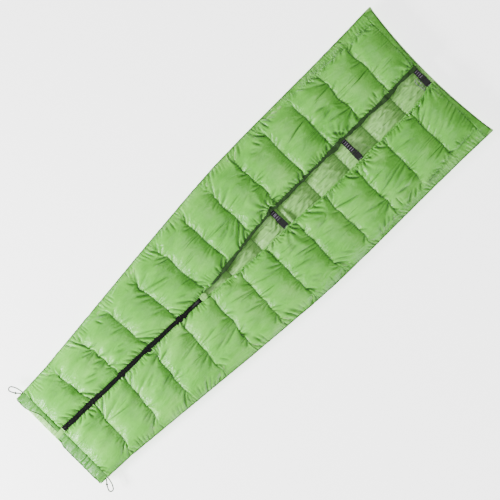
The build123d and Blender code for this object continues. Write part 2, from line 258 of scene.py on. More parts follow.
satin = {
    "sheen": 0.30,
    "gloss": 0.4,
    "driftScale": 9.0,  # slow change of tone over the cloth
    "streakScale": (60, 14, 60),
    "stitches": 310,  # stitches in a metre of seam
    "stitchHalf": 0.0007,
    "stitchTone": shade(70, 116, 48),
    "weaveScale": 620.0,
    "gatherFade": 21,  # the gathers die out 1 / 21 m from their cross seam
    "gatherHigh": 0.0042,
    "tuftHigh": 0.0055,
    "tuckHigh": 0.014,
    "tuckShare": 0.45,  # how much of a gathered line lies in the shade of a tuck
    "roughDrift": 0.12,
    "tones": {  # deep, main and pale tone, roughness, and the painted shade tone for creases and tucks
        "shellFabric": (shade(80, 164, 44), shade(100, 188, 58), shade(126, 206, 82), 0.34,
                        shade(34, 74, 22)),
        "liningFabric": (shade(112, 178, 78), shade(134, 198, 96), shade(156, 212, 120), 0.36,
                         shade(84, 136, 58)),
        "hemFabric": (shade(54, 120, 34), shade(72, 144, 45), shade(95, 165, 62), 0.42, shade(34, 74, 22)),
    },
}


# thin satin: drift and streaks set the tone, painted shade darkens it in the creases and on the low side of
# each tuck, and a fine weave, creases, gathers beside each cross seam, soft tufts, tucks where the gather
# attribute is above 0 and a dashed stitch line lie over each other as bumps;
# seamMap's x runs along the cross seam in metres, and its y is the distance from the nearest one
def satinFabric(name, deep, main, pale, rough, creaseShadeTone):
    f = Finish(name, Sheen_Weight=satin["sheen"], Sheen_Roughness=0.4, Specular_IOR_Level=satin["gloss"])
    place = f.coords()
    drift = f.noise(place, satin["driftScale"], 3.0, 0.55)
    streak = f.noise(f.coords(satin["streakScale"], 0.6), 1.0, 3.0, 0.6)
    along, off, _ = f.split(f.uv("seamMap"))
    stitch = abs(f.fract(along * satin["stitches"]) - 0.5) < 0.33
    onSeam = (abs(off) < satin["stitchHalf"]) * stitch
    stops = [(0.30, deep), (0.5, main), (0.72, pale)]
    tone = f.add("ValToRGB", {"stops": stops}, Fac=drift * 0.65 + streak * 0.35)
    # painted shade: the tone darkens towards the shade tone where the cloth lies low in its creases
    shadow = f.add("Attribute", {"attribute_name": "crease"}, out=2)
    tone = f.mix(shadow * 0.9, tone, creaseShadeTone)
    tone = f.mix(onSeam * 0.6, tone, satin["stitchTone"])
    weave = f.bump(f.threads(place, satin["weaveScale"]), 0.00006, 0.5)
    fine = f.bump(f.noise(f.coords((1, 0.55, 1), 0.35), 95.0, 4.0, 0.62), 0.0013, 0.65, weave)
    near = 1 - off * satin["gatherFade"]
    near = near.math("MAXIMUM", near, 0.0)
    gathers = f.bump(f.folds((1, 0.16, 1), 0.12, 150.0, 0.9) * near, satin["gatherHigh"], 0.75, fine)
    tufts = f.bump(f.folds((1, 0.3, 1), -0.45, 46.0, 1.4), satin["tuftHigh"], 0.55, gathers)
    gathered = f.add("Attribute", {"attribute_name": "gather"}, out=2)
    tucks = f.folds((0.30, 1, 1), 0.1, 150.0, 0.8)
    # painted shade on the low side of each tuck where the cloth is gathered
    tone = f.mix(gathered * (tucks < satin["tuckShare"]) * 0.75, tone, creaseShadeTone)
    tucked = f.bump(tucks * gathered, satin["tuckHigh"], 1.0, tufts)
    stitched = f.bump(1 - onSeam, 0.0004, 0.8, tucked)
    return f.set(Base_Color=tone, Roughness=rough + satin["roughDrift"] * (streak - 0.5), Normal=stitched)


shellFabric, liningFabric, hemFabric = (satinFabric(name, *tones) for name, tones in satin["tones"].items())
print("fabric made")


# outline helpers
# half the quilt's width at y, on straight runs between the outline's points
def sideX(y):
    return np.interp(y, quilt["outlineY"], quilt["outlineX"])


# a soft step from 0 to 1: t * t * (3 - 2 t), level at both ends
def smooth(t):
    t = np.clip(t, 0, 1)
    return t * t * (3 - 2 * t)


slit = {
    "leftY": (-0.950, -0.903, -0.226, -0.205, -0.162, 0.010, 0.110, 0.155, 0.178, 0.203, 0.260, 0.505,
              0.538, 0.570, 0.700, 0.960),
    "leftX": (-0.0285, -0.0265, -0.0068, -0.0070, -0.0100, -0.0310, -0.0420, -0.0470, -0.0580, -0.0470,
              -0.0480, -0.0480, -0.0560, -0.0480, -0.0470, -0.0480),
    "rightY": (-0.950, -0.903, -0.226, -0.200, -0.150, 0.010, 0.181, 0.310, 0.480, 0.540, 0.600, 0.815,
               0.870, 0.890, 0.960),
    "rightX": (-0.0075, -0.0085, 0.0062, 0.0100, 0.0150, 0.0330, 0.0370, 0.0490, 0.0540, 0.0550, 0.0540,
               0.0550, 0.0450, 0.0400, 0.0370),
}


# the slit's left (-1) or right (1) edge at y, on straight runs between its points
def slitX(y, side):
    key = "left" if side < 0 else "right"
    return np.interp(y, slit[key + "Y"], slit[key + "X"])


# smooth seeded noise: random values on a coarse grid, blended between with a cosine
def softNoise(shape, seed, cells):
    rng = np.random.default_rng(seed)
    coarse = rng.standard_normal((cells[0] + 2, cells[1] + 2))
    y = np.linspace(0, cells[0], shape[0])
    x = np.linspace(0, cells[1], shape[1])
    iy, ix = y.astype(int), x.astype(int)
    ty, tx = smooth(y - iy)[:, None], smooth(x - ix)[None, :]
    a, b = coarse[iy][:, ix], coarse[iy][:, ix + 1]
    c, d = coarse[iy + 1][:, ix], coarse[iy + 1][:, ix + 1]
    return (a * (1 - tx) + b * tx) * (1 - ty) + (c * (1 - tx) + d * tx) * ty


# seeded wander along a line of this many points
def lineNoise(count, seed, cells):
    return softNoise((count, 2), seed, (cells, 1))[:, 0]


# a mesh object from vertices and quads, with its seam map and any values stored at its vertices
def meshPiece(name, verts, quads, mapped=None, **values):
    mesh = bpy.data.meshes.new(name)
    mesh.vertices.add(len(verts))
    mesh.vertices.foreach_set("co", np.asarray(verts, np.float32).ravel())
    mesh.loops.add(quads.size)
    mesh.loops.foreach_set("vertex_index", quads.astype(np.int32).ravel())
    mesh.polygons.add(len(quads))
    mesh.polygons.foreach_set("loop_start", np.arange(0, quads.size, quads.shape[1], dtype=np.int32))
    mesh.update(calc_edges=True)
    mesh.polygons.foreach_set("use_smooth", np.ones(len(quads), bool))
    if mapped is not None:
        layer = mesh.uv_layers.new(name="seamMap")
        layer.data.foreach_set("uv", mapped[quads.ravel()].astype(np.float32).ravel())
    for key, value in values.items():
        mesh.attributes.new(key, "FLOAT", "POINT").data.foreach_set("value", value.astype(np.float32))
    mesh.validate()
    piece = bpy.data.objects.new(name, mesh)
    scene.collection.objects.link(piece)
    return piece


# puts these materials in a piece's slots, in place of what was there
def giveFinish(piece, *materials):
    piece.data.materials.clear()
    for material in materials:
        piece.data.materials.append(material)
    return piece


# small finishes
# woven trim: crossed bands of thread, with a little drift in colour
def clothFinish(name, dark, light, scale, rough, bumpDepth):
    f = Finish(name, Sheen_Weight=0.05, Specular_IOR_Level=0.2)
    place = f.coords()
    threads = f.threads(place, scale)
    drift = f.noise(place, 60.0, 4.0)
    tone = f.mix(drift * 0.7 + threads * 0.3, dark, light)
    return f.set(Base_Color=tone, Roughness=rough + 0.1 * (drift - 0.5), Normal=f.bump(threads, bumpDepth))


# moulded or painted part: a fine grain, rubbed paler in soft patches
def mouldedFinish(name, dark, light, rough, grain):
    f = Finish(name, Specular_IOR_Level=0.28)
    place = f.coords()
    speck = f.noise(place, grain, 4.0, 0.6)
    wear = f.noise(place, 160.0, 3.0, 0.6)
    tone = f.mix(wear * 0.6, dark, light)
    return f.set(Base_Color=tone, Roughness=rough + 0.18 * (speck - 0.5), Normal=f.bump(speck, 0.00005, 0.7))


strap = {
    "width": 0.020,
    "thick": 0.0015,
    "barsPerMetre": 118,
    "barHigh": 0.0003,
    "ringSize": 18,
    "square": 0.35,
    "turn": 0.004,  # where the webbing starts to turn round the bar
    "round": 0.0008,
    "tail": 0.019,
}


# black webbing with a painted highlight, a paler bar, across it at each step of the ladder; seamMap's x runs
# along it in metres
def ladderFinish():
    f = Finish("ladderWebbing", Specular_IOR_Level=0.3)
    along, across, _ = f.split(f.uv("seamMap"))
    bar = (abs(f.fract(along * strap["barsPerMetre"]) - 0.5) < 0.17) * (abs(across - 0.5) < 0.34)
    threads = f.add("TexWave", {"bands_direction": "Y"}, out=1, Vector=f.coords(), Scale=900.0)
    tone = f.mix(threads * 0.5, shade(4, 4, 5), shade(16, 15, 18))
    # painted highlight: each raised bar turns pale grey
    tone = f.mix(bar * 0.8, tone, shade(138, 126, 146))
    return f.set(Base_Color=tone, Roughness=0.62 - 0.15 * bar, Normal=f.bump(threads + bar, 0.0002))


# stretch cord: silver-grey with dark flecks, where a Voronoi cell's distance is over 0.42
def speckledFinish():
    f = Finish("stretchCord")
    flecks = f.add("TexVoronoi", Vector=f.coords(), Scale=420.0)
    tone = f.mix(flecks > 0.42, shade(196, 198, 200), shade(52, 54, 58))
    return f.set(Base_Color=tone, Roughness=0.6 + 0.1 * flecks, Normal=f.bump(flecks, 0.0002))


# dark green binding cloth, also the painted shadow along the slit's left edge and under the flaps' head edges
bindingAndShadowCloth = clothFinish("bindingAndShadowCloth", shade(26, 48, 18), shade(48, 80, 34), 700.0, 0.65, 0.0002)
# green trim for the side seams, and for the foot edge tubes, which are also a painted shadow under the foot
# edges
trimAndShadowCloth = clothFinish("trimAndShadowCloth", shade(44, 84, 30), shade(78, 128, 52), 900.0, 0.6, 0.0001)
cordCloth = clothFinish("cordCloth", shade(16, 36, 12), shade(44, 80, 32), 1100.0, 0.7, 0.0001)
tapeCloth = clothFinish("tapeCloth", shade(1, 1, 1), shade(7, 7, 8), 800.0, 0.9, 0.0001)
coilPlastic = mouldedFinish("coilPlastic", shade(2, 2, 3), shade(12, 12, 14), 0.42, 900.0)
bucklePlastic = mouldedFinish("bucklePlastic", shade(5, 5, 6), shade(20, 19, 23), 0.46, 1400.0)
sliderPaint = mouldedFinish("sliderPaint", shade(10, 10, 11), shade(44, 44, 48), 0.3, 1200.0)
ladderWebbing = ladderFinish()
stretchCord = speckledFinish()
print("small finishes made")


# ribbons, tubes and hems
# a closed tube from rings of points, each end drawn to a point; along and off are its seam map
def ringMesh(name, rings, along, off, material):
    ends = [np.repeat(r.mean(0, keepdims=True), len(r), 0)[None] for r in (rings[0], rings[-1])]
    rings = np.concatenate([ends[0], rings, ends[1]])
    along = np.concatenate([along[:1], along, along[-1:]])
    rows, cols = rings.shape[:2]
    grid = np.arange(rows * cols).reshape(rows, cols)
    turned = np.roll(grid, -1, 1)
    quads = np.stack([grid[:-1].ravel(), turned[:-1].ravel(), turned[1:].ravel(), grid[1:].ravel()], -1)
    mapped = np.stack([np.repeat(along[:, None], cols, 1), np.repeat(off[None], rows, 0)], -1).reshape(-1, 2)
    piece = meshPiece(name, rings.reshape(-1, 3), quads, mapped)
    work = bmesh.new()
    work.from_mesh(piece.data)
    bmesh.ops.remove_doubles(work, verts=work.verts, dist=1e-7)
    bmesh.ops.recalc_face_normals(work, faces=work.faces)
    work.to_mesh(piece.data)
    work.free()
    return giveFinish(piece, material)


# the distance travelled along a line, at each of its points
def lengthAlong(points):
    return np.append(0, np.cumsum(np.linalg.norm(np.diff(points, axis=0), axis=1)))


# unit directions along a line
def runOf(points):
    run = np.gradient(points, axis=0)
    return run / np.linalg.norm(run, axis=1, keepdims=True)


# a flat oval's section: the cosine raised to a power squares its ends off
def flatOval(ringSize, power):
    turn = np.linspace(0, 2 * np.pi, ringSize, endpoint=False)
    return np.sign(np.cos(turn)) * np.abs(np.cos(turn)) ** power, np.sin(turn)


# a flat sewn tube between two edge lines: a rounded flat oval at each step, rippled across its length
def ribbon(name, first, second, thick, material, ripple, seed, ringSize=14, foldLength=0.008):
    middle, half = (first + second) / 2, (second - first) / 2
    wide, high = flatOval(ringSize, 0.6)
    along = lengthAlong(middle)
    folds = max(int(along[-1] / foldLength), 2)
    lump = softNoise((len(first), ringSize), seed, (folds, 3)) * ripple
    lump[:, 0] = lump[:, -1]
    rings = middle[:, None] + half[:, None] * wide[None, :, None]
    rings[..., 2] += high[None] * thick / 2 + lump
    off = (wide + 1) / 2 * 2 * np.linalg.norm(half, axis=1).mean() - 0.004
    return ringMesh(name, rings, along, off, material)


# a round tube on a line; profile scales its radius at each step
def tube(name, centre, radius, material, ringSize=10, profile=1.0):
    run = runOf(centre)
    side = np.cross(run, (0, 0, 1.0))
    side /= np.linalg.norm(side, axis=1, keepdims=True) + 1e-9
    up = np.cross(side, run)
    turn = np.linspace(0, 2 * np.pi, ringSize, endpoint=False)
    size = radius * profile * np.ones(len(centre))
    rings = centre[:, None] + size[:, None, None] * (
        side[:, None] * np.cos(turn)[None, :, None] + up[:, None] * np.sin(turn)[None, :, None])
    return ringMesh(name, rings, lengthAlong(centre), np.full(ringSize, 0.5), material)


# points from coordinates that may each be one number or many
def line(x, y, z):
    x, y, z = np.broadcast_arrays(x, y, z)
    return np.stack([x, y, z], -1).astype(float)


# cords: a loop at each foot corner, and the stretch cord under the neck buckle
cords = {
    "loopDiameter": 0.0042,
    "loopRoot": 0.2170,
    "loopZ": quilt["sideZ"],
    "loopRun": ((0, -0.914), (0.015, -0.916), (0.031, -0.921), (0.048, -0.932), (0.041, -0.947),
                (0.022, -0.939), (0.009, -0.929), (0, -0.921)),
    "loopLength": 0.106,
    "knotX": 0.015,
    "knotY": -0.934,
    "knotSize": 0.0034,
    "neckDiameter": 0.0024,
    "neckY": 0.877,
    "neckZ": 0.0464,
    "neckRun": ((0.064, -0.0022), (0.042, -0.0022), (0.022, -0.0044), (0.008, -0.0066),
                (-0.004, -0.0070), (-0.011, -0.0046)),
    "neckLength": 0.158,
}


# a NURBS line through its control points, given a round section of this diameter
def cordCurve(name, points, diameter, material):
    data = bpy.data.curves.new(name, "CURVE")
    data.dimensions = "3D"
    data.bevel_depth = diameter / 2
    data.bevel_resolution = 4
    data.use_fill_caps = True
    data.resolution_u = 12
    spline = data.splines.new("NURBS")
    spline.points.add(len(points) - 1)
    for point, place in zip(spline.points, points):
        point.co = (*place, 1)
    spline.order_u = 3
    spline.use_endpoint_u = True
    data.materials.append(material)
    piece = bpy.data.objects.new(name, data)
    scene.collection.objects.link(piece)
    return piece


# a small overhand knot: a tube on a trefoil, x = sin t + 2 sin 2t, y = cos t - 2 cos 2t, z = -sin 3t
def knotPiece(name, place, size):
    t = np.linspace(0, 2 * np.pi, 90)
    x = (np.sin(t) + 2 * np.sin(2 * t)) / 3
    y = (np.cos(t) - 2 * np.cos(2 * t)) / 3
    z = -np.sin(3 * t) / 2
    run = np.array(place) + size * np.stack([x, y, z], -1)
    return tube(name, run, size * 0.42, cordCloth, 10)


# one cord loop and its knot at each foot corner
def footLoops():
    for side, word in sides:
        points = [(side * (cords["loopRoot"] + x), y, cords["loopZ"]) for x, y in cords["loopRun"]]
        loop = cordCurve(word + "FootLoop", points, cords["loopDiameter"], cordCloth)
        knotPlace = (side * (cords["loopRoot"] + cords["knotX"]), cords["knotY"], cords["loopZ"])
        knot = knotPiece(word + "FootLoopKnot", knotPlace, cords["knotSize"])
        for piece in (loop, knot):
            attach(piece, "back")
        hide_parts(word + "_foot_loop")


# the stretch cord: out to the toggle along one run, and back along its mirror image
def neckCord():
    run = [(x, cords["neckY"] + y, cords["neckZ"]) for x, y in cords["neckRun"]]
    run += [(x, cords["neckY"] - y, cords["neckZ"]) for x, y in reversed(cords["neckRun"])]
    piece = cordCurve("neckStretchCord", run, cords["neckDiameter"], stretchCord)
    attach(piece, "right_flap")
    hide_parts("neck_cord")


footLoops()
neckCord()
print("cords done")


# fabric relaxed between its seams
relaxing = {
    "steps": 460,
    "quickSteps": 60,
    "puff": 0.036,  # extra length up and down each chamber, which lets it loft
    "ripple": 0.062,  # extra width all over, which puckers at the seams
    "edgeGather": 0.15,  # extra length along the slit's and the sides' stitching
    "edgeReach": 0.022,
    "lift": 2.4e-6,  # how hard the down pushes, in metres a step squared
    "bendOver": 0.02,
    "seedFolds": 0.0010,  # small first folds, so that the cloth has something to buckle from
    "shear": 0.35,
    "keepSpeed": 0.93,
}


# moves the two ends of every thread towards its rest length, each by how loose it is
def pullTogether(points, loose, first, second, rest, amount):
    gap = points[second] - points[first]
    far = np.sqrt((gap * gap).sum(-1, keepdims=True)) + 1e-9
    shift = gap * ((far - rest[..., None]) / far * amount)
    share = loose[first] + loose[second] + 1e-6
    points[first] += shift * (loose[first] / share)
    points[second] -= shift * (loose[second] / share)


# lets a grid of fabric settle: threads hold their length while the down pushes the sheet out
def relaxSheet(points, loose, restAcross, restAlong, heightLow, heightHigh, seed):
    points = points.astype(np.float32)
    loose = loose[..., None].astype(np.float32)
    restX = restAcross.astype(np.float32)
    restY = restAlong.astype(np.float32)
    start = points.copy()
    rows, cols = points.shape[:2]
    folds = softNoise((rows, cols), seed, (rows // 9, cols // 3))
    folds += softNoise((rows, cols), seed + 1, (rows // 4, cols // 5))
    points[..., 2] += (folds * relaxing["seedFolds"]).astype(np.float32) * loose[..., 0]
    before = points.copy()
    full, head, tail = slice(None), slice(None, -1), slice(1, None)
    diagonal = np.sqrt(restX[:-1] ** 2 + restY[:, :-1] ** 2)
    steps = relaxing["steps"]
    for _ in range(steps):
        along = points[2:, 1:-1] - points[:-2, 1:-1]
        across = points[1:-1, 2:] - points[1:-1, :-2]
        normal = np.cross(across, along)
        normal /= np.sqrt((normal * normal).sum(-1, keepdims=True)) + 1e-9
        normal *= np.sign(normal[..., 2:].mean())
        drift = (points - before) * relaxing["keepSpeed"]
        before = points.copy()
        points += drift * loose
        points[1:-1, 1:-1] += normal * relaxing["lift"] * loose[1:-1, 1:-1]
        for odd in (0, 1):
            here, there = slice(odd, -1, 2), slice(odd + 1, None, 2)
            pullTogether(points, loose, (full, here), (full, there), restX[:, odd::2], 1.0)
            pullTogether(points, loose, (here, full), (there, full), restY[odd::2], 1.0)
            for near, far in ((head, tail), (tail, head)):
                pullTogether(points, loose, (here, near), (there, far), diagonal[odd::2], relaxing["shear"])
        middle = (points[:, :-2] + points[:, 2:]) / 2 - points[:, 1:-1]
        points[:, 1:-1] += middle * relaxing["bendOver"] * loose[:, 1:-1]
        middle = (points[:-2] + points[2:]) / 2 - points[1:-1]
        points[1:-1] += middle * relaxing["bendOver"] * loose[1:-1]
        points[..., 2] = np.clip(points[..., 2], heightLow, heightHigh)
    points[loose[..., 0] <= 0] = start[loose[..., 0] <= 0]
    return points.astype(float)


# row heights from the foot to the head, with a row on every seam; also each row's place in its chamber
def chamberRows():
    ys, inside, seamRow = [], [], [0]
    for low, high in zip(seamYs[:-1], seamYs[1:]):
        t = np.arange(quilt["rowsPerChamber"]) / quilt["rowsPerChamber"]
        ys.append(low + (high - low) * t)
        inside.append(t)
        seamRow.append(seamRow[-1] + quilt["rowsPerChamber"])
    return np.append(np.concatenate(ys), seamYs[-1]), np.append(np.concatenate(inside), 0.0), seamRow


rowY, rowInside, seamRows = chamberRows()


# the padded panels
panel = {
    "edgeSoft": 0.015,  # how fast the loft rises away from the slit and the sides
    "sideFall": 0.030,  # the outer strip drops to the side seam
    "gatherFrom": 0.40,  # a gathered line runs beside each side edge from here to the head
    "gatherInset": ((0.42, 0.011), (0.93, 0.047)),
    "liningDrop": 0.013,  # the back's seams sit this much nearer the foot than the panels'
    "under": 0.0006,
    "wander": 0.0030,
    "strapY": (0.177, 0.539, 0.900),
    "fanFolds": 11.0,
    "fanHigh": 0.0034,
    "fanReach": 0.050,
    "sway": 0.0015,  # the gathered edge beside the zip and the slit wanders by this much
    "swayFolds": 62,
    "zipSway": 0.0013,  # both edges beside the zip wander together by this much
    "slitFolds": 0.0028,  # height of the slanting folds in the lining that shows in the slit
    "slitWave": 0.021,
    "foldReach": 0.026,  # half the width over which a flap's fabric turns
    "fill": 0.6,
}


# each row's small slow drift along the length, so that no seam is ruler straight
def seamWander(y0, u, seed):
    drift = softNoise((len(y0), u.shape[1]), 300 + seed, (26, 9)) * panel["wander"]
    return drift * smooth((y0 - seamYs[0]) / 0.10) * smooth((seamYs[-1] - y0) / 0.10) * smooth(u / 0.04)


# a panel's flat grid: rows follow its cross seams, which climb towards the zip, and columns run from
# slit to side; returned with each point's distance from the slit and from the side
def panelGrid(side):
    u = np.linspace(0, 1, quilt["acrossCells"] + 1)[None, :]
    y0 = rowY[:, None]
    climb = quilt["chevron"] * smooth((0.14 - y0) / 0.36) * smooth((y0 - seamYs[0]) / 0.13)
    y = y0 + climb * (1 - u) + seamWander(y0, u, side)
    sway = softNoise(y0.shape, 30 + side, (panel["swayFolds"], 1)) * panel["sway"]
    alongZip = smooth((-0.21 - y0) / 0.03)
    bothWays = softNoise(y0.shape, 29, (18, 1)) * panel["zipSway"] * alongZip
    inner = slitX(y, side) + sway * (1 - 0.45 * alongZip) + bothWays
    outer = side * sideX(y)
    return inner + (outer - inner) * u, y, np.abs(outer - inner) * u, np.abs(outer - inner) * (1 - u)


# the gaps between neighbouring grid points, across and along
def spacing(x, y):
    across = np.hypot(np.diff(x, axis=1), np.diff(y, axis=1))
    along = np.hypot(np.diff(x, axis=0), np.diff(y, axis=0))
    return across, along


# relaxes one sheet: an arch over each chamber to start with, flat at every seam and edge
def puffed(x, y, fromSlit, fromSide, base, loft, seed, low, high, pinned, gather=1.0):
    t = rowInside[:, None]
    arch = (4 * t * (1 - t)) ** 0.8
    edge = (1 - np.exp(-fromSlit / panel["edgeSoft"])) * (1 - np.exp(-fromSide / panel["edgeSoft"]))
    wander = 1 + 0.14 * softNoise(x.shape, seed, (34, 7))
    z = base + loft * arch * edge * wander
    loose = np.ones_like(x)
    loose[seamRows] = 0
    loose[:, [0, -1]] = 0
    loose[pinned] = 0
    z = np.where(loose > 0, z, base + 0.0004)
    across, along = spacing(x, y)
    reach = relaxing["edgeReach"]
    nearEdge = np.exp(-fromSlit / reach) + 0.6 * np.exp(-fromSide / reach)
    tight = softNoise(x.shape, seed + 1, (60, 12))
    more = relaxing["ripple"] * (1 + 0.35 * tight)
    restAcross = across * (1 + (more[:, 1:] + more[:, :-1]) / 2)
    stretch = relaxing["puff"] + gather * relaxing["edgeGather"] * nearEdge * (1 + 0.3 * tight)
    restAlong = along * (1 + (stretch[1:] + stretch[:-1]) / 2)
    return relaxSheet(np.stack([x, y, z], -1), loose, restAcross, restAlong, low, high, seed + 2)


# marks the stitched line beside the side edge, in the upper part
def sideGather(x, y, fromSide):
    (y0, near), (y1, far) = panel["gatherInset"]
    inset = np.interp(y, (y0, y1), (near, far))
    cell = np.abs(np.diff(x, axis=1)).mean()
    return (np.abs(fromSide - inset) < cell * 0.55) & (y > panel["gatherFrom"])


# folds that fan out from each strap's end: a cosine of the angle, dying away with the distance
def strapPull(x, y, side):
    pull = np.zeros_like(x)
    for k, strapY in enumerate(panel["strapY"]):
        dx, dy = side * (x - slitX(strapY, side)), y - strapY
        far, angle = np.hypot(dx, dy), np.arctan2(dy, np.abs(dx) + 1e-6)
        fan = np.cos(angle * panel["fanFolds"] + 2.0 * np.sin(far * 42 + k) + 1.7 * k + side)
        pull += panel["fanHigh"] * fan * np.exp(-far / panel["fanReach"]) * smooth(far / 0.012)
    return pull


# a panel's upper sheet: relaxed over its base, which falls to the side seam, with each strap's pull added
def panelSheet(side, seed):
    x, y, fromSlit, fromSide = panelGrid(side)
    fall = smooth(1 - fromSide / panel["sideFall"])
    base = quilt["panelMid"] - 0.001 + (quilt["sideZ"] + 0.001 - quilt["panelMid"]) * fall
    low = base - 0.0016
    high = np.full_like(base, wholeHigh.z + 0.008)
    sheet = puffed(x, y, fromSlit, fromSide, base, quilt["loft"], seed, low, high, sideGather(x, y, fromSide))
    sheet[..., 2] += strapPull(x, y, side) * smooth(fromSlit / 0.006)
    return {"x": x, "y": y, "base": base, "fromSlit": fromSlit, "fromSide": fromSide, "top": sheet}


# each point moved to the mean of itself, twice, and its four neighbours, this many times
def blurred(z, times):
    for _ in range(times):
        z = np.pad(z, 1, mode="edge")
        z = (z[:-2, 1:-1] + z[2:, 1:-1] + z[1:-1, :-2] + z[1:-1, 2:] + 2 * z[1:-1, 1:-1]) / 6
    return z


# how far a point lies under its surroundings, from 0 to 1, kept as the painted shade in the creases
def creaseShadeOf(z):
    return np.clip((blurred(z, 5) - z) / 0.0016, 0, 1)


# one closed mesh from an upper and a lower grid of the same size, joined round their rims, a fabric each
def closedPad(name, top, bottom, maps, gather, topFabric, underFabric):
    rows, cols = top.shape[:2]
    upper = np.arange(rows * cols).reshape(rows, cols)
    rim = np.zeros((rows, cols), bool)
    rim[[0, -1]] = rim[:, [0, -1]] = True
    lower = upper.copy()
    lower[~rim] = rows * cols + np.arange((~rim).sum())
    quads = []
    for grid, order in ((upper, (0, 1, 2, 3)), (lower, (3, 2, 1, 0))):
        corners = [grid[:-1, :-1], grid[:-1, 1:], grid[1:, 1:], grid[1:, :-1]]
        quads.append(np.stack([corners[k].ravel() for k in order], -1))
    if top[0, -1, 0] < top[0, 0, 0]:                # a left-hand panel runs the other way
        quads = [q[:, ::-1] for q in quads]
    piece = meshPiece(name, np.concatenate([top.reshape(-1, 3), bottom[~rim]]), np.concatenate(quads),
                      np.concatenate([maps.reshape(-1, 2), maps[~rim]]),
                      # the painted shade in the creases of both sheets, stored at the vertices
                      crease=np.concatenate([creaseShadeOf(top[..., 2]).ravel(), creaseShadeOf(-bottom[..., 2])[~rim]]),
                      gather=np.concatenate([gather.ravel(), gather[~rim]]))
    giveFinish(piece, topFabric, underFabric)
    under = np.repeat((0, 1), [len(q) for q in quads]).astype(np.int32)
    piece.data.polygons.foreach_set("material_index", under)
    return piece


# each grid point's seam map: its distance along the cross seam, and from the nearest one
def seamMaps(x, along):
    height = np.diff(seamYs)
    chamber = np.minimum(np.arange(len(rowY)) // quilt["rowsPerChamber"], len(height) - 1)
    off = np.minimum(rowInside, 1 - rowInside) * height[chamber]
    return np.stack([along, np.repeat(off[:, None], x.shape[1], 1)], -1)


# how gathered the fabric is: strong beside the stitched line near the side, weaker along slit and side seam
def gatherOf(mine, side):
    y, fromSide, fromSlit = mine["y"], mine["fromSide"], mine["fromSlit"]
    (y0, near), (y1, far) = panel["gatherInset"]
    inset = np.interp(y, (y0, y1), (near, far))
    strength = smooth((y - panel["gatherFrom"]) / 0.25) * (1.0 if side < 0 else 0.75)
    band = np.exp(-((fromSide - inset) / 0.014) ** 2) * strength
    edges = 0.5 * np.exp(-fromSlit / 0.014) + 0.5 * np.exp(-fromSide / 0.007)
    patches = np.clip(0.65 + 0.5 * softNoise(y.shape, 110 + side, (70, 10)), 0, 1.3)
    return np.clip((band + edges) * patches, 0, 1)


# a panel's lining: the other panel's relaxed sheet turned over, so that its folds differ from the top's
def underSheet(mine, other):
    lift = other["top"][..., 2] - other["base"]
    shiftY = other["top"][..., 1] - other["y"]
    shiftX = -(other["top"][..., 0] - other["x"])
    floor = quilt["sideZ"] + 0.0005
    z = np.maximum(mine["base"] - lift, floor)
    return np.stack([mine["x"] + shiftX, mine["y"] + shiftY, np.minimum(z, mine["top"][..., 2] - 0.0004)], -1)


# bakes a piece's transform into its mesh
def foldWith(piece):
    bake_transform(piece)


# attaches a piece to the body it rides with, or only bakes its transform when a joint is given, and hides the
# node it stands for
def settle(piece, node=None, body="back", joint=None):
    if joint:
        foldWith(piece)
    else:
        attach(piece, body)
    if node:
        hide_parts(node)


print("relaxing the panels")
sheets = {side: panelSheet(side, 40 + 7 * side) for side in (-1, 1)}
for side, word in sides:
    mine = sheets[side]
    piece = closedPad(word + "Panel", mine["top"], underSheet(mine, sheets[-side]),
                      seamMaps(mine["x"], mine["fromSlit"]), gatherOf(mine, side), shellFabric, liningFabric)
    foldWith(piece)
    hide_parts(*[f"{word}_{part}_{layer}" for part in ("panel", "flap") for layer in
                         ("shell", "lining", "down")], word + "_slit_hem", word + "_slit_hem_low")
print("panels done")


# the back: its lining faces up in the slit, its shell lies on the ground
def backPad():
    cells = 2 * quilt["acrossCells"]
    u = np.linspace(-1, 1, cells + 1)[None, :]
    y0 = rowY[:, None]
    ease = smooth((y0 - seamYs[0]) / 0.14) * smooth((seamYs[-1] - y0) / 0.14)
    y = np.repeat(y0 - panel["liningDrop"] * ease, cells + 1, 1)
    x = sideX(y) * u
    fromSide = sideX(y) * (1 - np.abs(u))
    fall = smooth(1 - fromSide / panel["sideFall"])
    base = quilt["backMid"] + (quilt["sideZ"] - quilt["backMid"]) * fall
    inSlit = (x > slitX(y, -1) + 0.006) & (x < slitX(y, 1) - 0.006) & (y > -0.15)
    high = np.where(inSlit, quilt["sideZ"] + 0.0065, quilt["sideZ"] - panel["under"])
    high = np.minimum(blurred(high, 6), high + 0.004)
    far = np.full_like(x, 1.0)
    pinned = np.zeros_like(x, bool)
    top = puffed(x, y, far, fromSide, base, quilt["loft"], 91, base - 0.0015, high, pinned, 0.7)
    lift = (top[..., 2] - base)[:, ::-1]
    # slanting folds: 1 - |sin| ridges along a wandering phase, only where the slit shows the lining
    wander = softNoise(x.shape, 97, (60, 24)) * 0.8
    slant = (0.9 * x + 0.32 * y) / panel["slitWave"] * np.pi + wander
    cross = (0.7 * x - 0.55 * y) / (1.6 * panel["slitWave"]) * np.pi + 1.4 * wander
    ridges = (1 - np.abs(np.sin(slant))) + 0.7 * (1 - np.abs(np.sin(cross)))
    t = rowInside[:, None]
    shown = blurred(inSlit.astype(float), 5) * (4 * t * (1 - t)) ** 0.5
    top[..., 2] += panel["slitFolds"] * (ridges - 0.8) * shown
    z = np.maximum(base - lift, 0.0002)
    bottom = np.stack([x - (top[..., 0] - x)[:, ::-1], top[..., 1], z], -1)
    piece = closedPad("backPanel", top, bottom, seamMaps(x, x + 0.35), 0.7 * np.exp(-fromSide / 0.010),
                      liningFabric, shellFabric)
    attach(piece, "back")
    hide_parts("back_shell", "back_lining", "back_down")


backPad()
print("back done")


